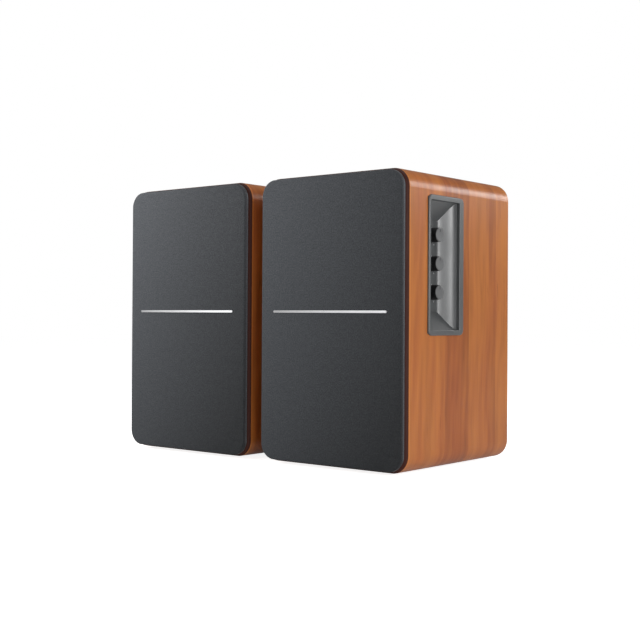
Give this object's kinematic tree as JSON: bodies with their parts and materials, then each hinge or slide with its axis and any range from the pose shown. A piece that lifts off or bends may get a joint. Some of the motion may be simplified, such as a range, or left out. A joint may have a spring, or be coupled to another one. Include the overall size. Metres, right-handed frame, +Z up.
{
  "type": "pair of powered desktop speakers",
  "caption": "Pair of powered two-way desktop speakers in wood-grain cabinets with pull-off cloth grilles and a recessed control panel on the side of one.",
  "frame": {"origin": "centre of the pair's footprint, at the underside of the rubber feet", "axes": "+X runs along the row towards the active speaker, +Y runs from the grilles to the rear, +Z is up"},
  "size_m": [0.3096, 0.1696, 0.236],
  "materials": {
    "basket_steel": "satin",
    "black_board": "satin",
    "black_plastic": "matte",
    "bright_metal": "polished",
    "circuit_board": "satin",
    "cone_paper": "matte",
    "dome_silk": "satin",
    "foot_rubber": "matte",
    "grille_fabric": "matte",
    "jack_metal": "polished",
    "knob_black": "satin",
    "lever_black": "gloss",
    "lever_red": "gloss",
    "motor_steel": "satin",
    "panel_grey": "satin",
    "plate_aluminium": "satin",
    "screw_steel": "satin",
    "shaft_steel": "satin",
    "spider_cloth": "matte",
    "surround_rubber": "satin",
    "transformer_steel": "satin",
    "wood_wrap": "satin"
  },
  "bodies": {
    "cabinets": {"grille_sockets": "black_plastic", "left_cabinet": "wood_wrap", "left_crossover_board": "circuit_board", "left_front_baffle": "black_board", "left_port_tube": "black_plastic", "left_rear_panel": "black_board", "left_terminal_housing": "black_plastic", "left_tweeter_faceplate": "black_plastic", "left_tweeter_motor": "motor_steel", "left_tweeter_surround": "dome_silk", "left_woofer_basket": "basket_steel", "left_woofer_motor": "motor_steel", "left_woofer_spider": "spider_cloth", "left_woofer_surround": "surround_rubber", "panel_screws": "screw_steel", "right_amplifier_board": "circuit_board", "right_amplifier_plate": "plate_aluminium", "right_cabinet": "wood_wrap", "right_control_board": "circuit_board", "right_control_panel": "panel_grey", "right_cord_gland": "black_plastic", "right_front_baffle": "black_board", "right_input_jacks": "jack_metal", "right_port_tube": "black_plastic", "right_potentiometers": "shaft_steel", "right_power_switch_frame": "black_plastic", "right_rear_panel": "black_board", "right_terminal_housing": "black_plastic", "right_transformer": "transformer_steel", "right_tweeter_faceplate": "black_plastic", "right_tweeter_motor": "motor_steel", "right_tweeter_surround": "dome_silk", "right_woofer_basket": "basket_steel", "right_woofer_motor": "motor_steel", "right_woofer_spider": "spider_cloth", "right_woofer_surround": "surround_rubber", "rubber_feet": "foot_rubber"},
    "treble_control": {"right_treble_knob": "knob_black", "right_treble_shaft": "shaft_steel"},
    "bass_control": {"right_bass_knob": "knob_black", "right_bass_shaft": "shaft_steel"},
    "volume_control": {"right_volume_knob": "knob_black", "right_volume_shaft": "shaft_steel"},
    "power_rocker": {"right_power_rocker": "lever_black"},
    "left_black_lever": {"left_terminal_lever_black": "lever_black"},
    "left_red_lever": {"left_terminal_lever_red": "lever_red"},
    "right_black_lever": {"right_terminal_lever_black": "lever_black"},
    "right_red_lever": {"right_terminal_lever_red": "lever_red"},
    "left_grille": {"left_grille_frame": "black_plastic", "left_grille_cloth": "grille_fabric", "left_accent_strip": "bright_metal"},
    "left_woofer_moving": {"left_woofer_cone": "cone_paper", "left_woofer_dust_cap": "cone_paper"},
    "left_tweeter_moving": {"left_tweeter_dome": "dome_silk"},
    "right_grille": {"right_grille_frame": "black_plastic", "right_grille_cloth": "grille_fabric", "right_accent_strip": "bright_metal"},
    "right_woofer_moving": {"right_woofer_cone": "cone_paper", "right_woofer_dust_cap": "cone_paper"},
    "right_tweeter_moving": {"right_tweeter_dome": "dome_silk"}
  },
  "joints": [
    {"name": "treble_turn", "type": "hinge", "parent": "cabinets", "child": "treble_control", "pos_m": [0.15165, -0.0322, 0.1868], "axis": [1, 0, 0], "range_deg": [-150, 150]},
    {"name": "bass_turn", "type": "hinge", "parent": "cabinets", "child": "bass_control", "pos_m": [0.15165, -0.0322, 0.1641], "axis": [1, 0, 0], "range_deg": [-150, 150]},
    {"name": "volume_turn", "type": "hinge", "parent": "cabinets", "child": "volume_control", "pos_m": [0.15165, -0.0322, 0.1414], "axis": [1, 0, 0], "range_deg": [-150, 150]},
    {"name": "power_rocker_tilt", "type": "hinge", "parent": "cabinets", "child": "power_rocker", "pos_m": [0.05025, 0.0718, 0.046], "axis": [1, 0, 0], "range_deg": [0, 20]},
    {"name": "left_black_lever_press", "type": "hinge", "parent": "cabinets", "child": "left_black_lever", "pos_m": [-0.09225, 0.0748, 0.138], "axis": [-1, 0, 0], "range_deg": [0, 14], "stiffness_Nm_per_rad": 0.03, "springref_deg": -5.73},
    {"name": "left_red_lever_press", "type": "hinge", "parent": "cabinets", "child": "left_red_lever", "pos_m": [-0.07125, 0.0748, 0.138], "axis": [-1, 0, 0], "range_deg": [0, 14], "stiffness_Nm_per_rad": 0.03, "springref_deg": -5.73},
    {"name": "right_black_lever_press", "type": "hinge", "parent": "cabinets", "child": "right_black_lever", "pos_m": [0.04975, 0.0768, 0.191], "axis": [-1, 0, 0], "range_deg": [0, 14], "stiffness_Nm_per_rad": 0.03, "springref_deg": -5.73},
    {"name": "right_red_lever_press", "type": "hinge", "parent": "cabinets", "child": "right_red_lever", "pos_m": [0.07075, 0.0768, 0.191], "axis": [-1, 0, 0], "range_deg": [0, 14], "stiffness_Nm_per_rad": 0.03, "springref_deg": -5.73},
    {"name": "left_grille_pull", "type": "slide", "parent": "cabinets", "child": "left_grille", "axis": [0, -1, 0], "range_m": [0, 0.03]},
    {"name": "left_woofer_travel", "type": "slide", "parent": "cabinets", "child": "left_woofer_moving", "axis": [0, -1, 0], "range_m": [-0.003, 0.003], "stiffness_N_per_m": 900, "deforming": ["left_woofer_surround", "left_woofer_spider"]},
    {"name": "left_tweeter_travel", "type": "slide", "parent": "cabinets", "child": "left_tweeter_moving", "axis": [0, -1, 0], "range_m": [-0.00025, 0.00025], "stiffness_N_per_m": 600, "deforming": ["left_tweeter_surround"]},
    {"name": "right_grille_pull", "type": "slide", "parent": "cabinets", "child": "right_grille", "axis": [0, -1, 0], "range_m": [0, 0.03]},
    {"name": "right_woofer_travel", "type": "slide", "parent": "cabinets", "child": "right_woofer_moving", "axis": [0, -1, 0], "range_m": [-0.003, 0.003], "stiffness_N_per_m": 900, "deforming": ["right_woofer_surround", "right_woofer_spider"]},
    {"name": "right_tweeter_travel", "type": "slide", "parent": "cabinets", "child": "right_tweeter_moving", "axis": [0, -1, 0], "range_m": [-0.00025, 0.00025], "stiffness_N_per_m": 600, "deforming": ["right_tweeter_surround"]}
  ]
}
